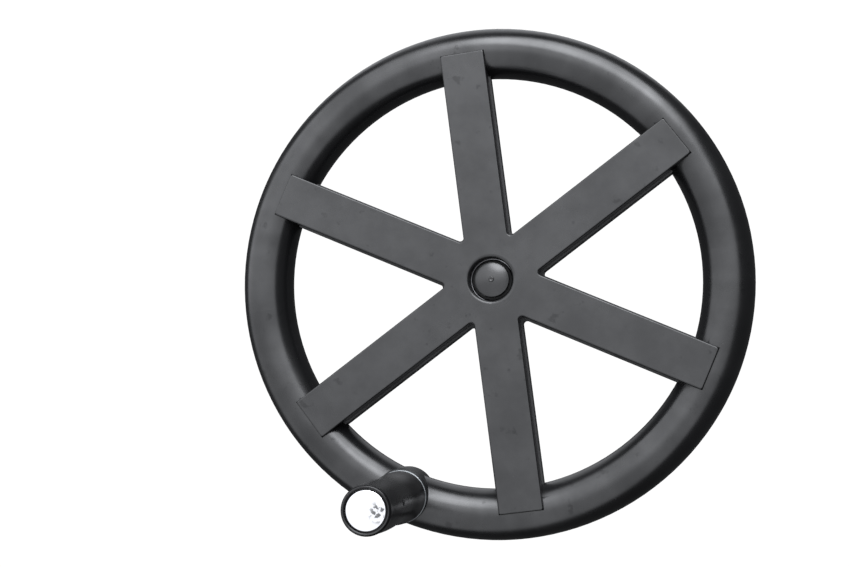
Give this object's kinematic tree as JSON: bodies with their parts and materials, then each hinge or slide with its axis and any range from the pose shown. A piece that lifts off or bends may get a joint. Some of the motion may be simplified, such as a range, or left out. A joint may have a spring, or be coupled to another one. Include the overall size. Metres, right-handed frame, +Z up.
{
  "type": "six-spoke hand wheel with revolving crank handle",
  "caption": "Round-rimmed wheel with flat spokes, a recessed hub with a domed cap, and a revolving crank handle standing forward from the rim.",
  "frame": {"origin": "centre of the wheel: where the hub bore's axis meets the middle plane of the rim", "axes": "+Z up along one spoke, Y along the wheel's axis with the front, spoke faces and handle towards -Y, +X to the right seen from the front"},
  "size_m": [0.3, 0.1465, 0.3],
  "materials": {
    "rim_skin": "satin, faintly mottled moulded skin",
    "spoke_moulding": "fine satin grain",
    "rear_moulding": "fine satin grain",
    "boss_moulding": "satin",
    "cap_plastic": "semi-gloss, faint swirl",
    "socket_plastic": "satin",
    "grip_plastic": "semi-gloss moulded",
    "bezel_gloss": "gloss",
    "bush_plastic": "natural acetal",
    "pad_rubber": "matte",
    "ring_chrome": "bright turned",
    "disc_chrome": "mirror polished",
    "armature_steel": "black primed",
    "hub_steel": "turned and blued",
    "spindle_steel": "ground, zinc plated",
    "screw_steel": "zinc plated"
  },
  "bodies": {
    "wheel": {"rim_core": "armature_steel", "spider": "armature_steel", "hub_boss": "hub_steel", "set_screw": "screw_steel", "rim_skin": "rim_skin", "front_cover": "spoke_moulding", "rear_cover": "rear_moulding", "cover_screws": "screw_steel", "cap_socket": "socket_plastic", "handle_anchor": "armature_steel", "handle_boss": "boss_moulding", "thrust_ring": "ring_chrome", "spindle": "spindle_steel", "spindle_washer": "screw_steel", "spindle_nut": "screw_steel", "spring_washer": "screw_steel", "end_washer": "screw_steel", "end_screw": "screw_steel"},
    "grip": {"grip_sleeve": "grip_plastic", "rear_bush": "bush_plastic", "front_bush": "bush_plastic", "end_bezel": "bezel_gloss", "disc_pad": "pad_rubber", "end_disc": "disc_chrome"},
    "cap": {"hub_cap": "cap_plastic"}
  },
  "joints": [
    {"name": "grip_spin", "type": "hinge", "parent": "wheel", "child": "grip", "pos_m": [-0.0676, -0.05, -0.11709], "axis": [0, 1, 0], "continuous": true},
    {"name": "hub_cap_lift", "type": "slide", "parent": "wheel", "child": "cap", "axis": [0, -1, 0], "range_m": [0, 0.025]}
  ]
}
